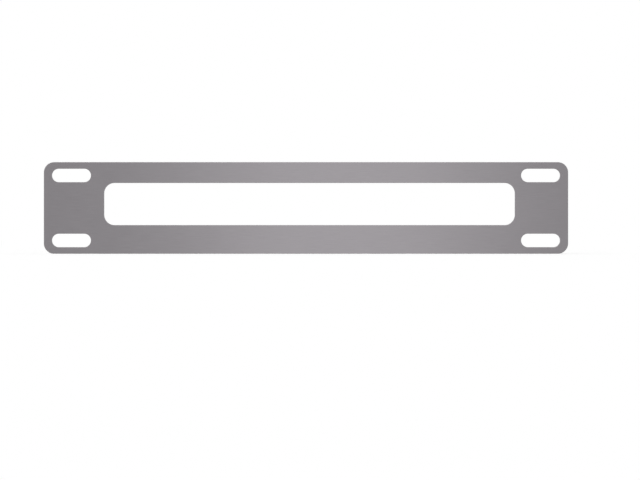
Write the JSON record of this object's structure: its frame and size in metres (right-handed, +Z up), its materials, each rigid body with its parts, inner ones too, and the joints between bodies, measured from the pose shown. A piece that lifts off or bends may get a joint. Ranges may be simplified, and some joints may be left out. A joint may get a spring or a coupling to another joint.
{
  "type": "rack pass-through panel",
  "caption": "Flat sheet-steel rack panel with rounded corners, a slotted screw hole near each corner and a long, off-centre rounded opening that cables pass through.",
  "frame": {"origin": "centre of the back face, which seats against the rack's two posts", "axes": "seen from the front +X is to the right along the panel, +Z is up, +Y runs into the rack; the front faces -Y"},
  "size_m": [0.254, 0.002, 0.0444],
  "materials": {
    "steel": "satin bare steel, faint fine grain along the panel"
  },
  "bodies": {
    "root": {"panel": "steel"}
  },
  "joints": []
}
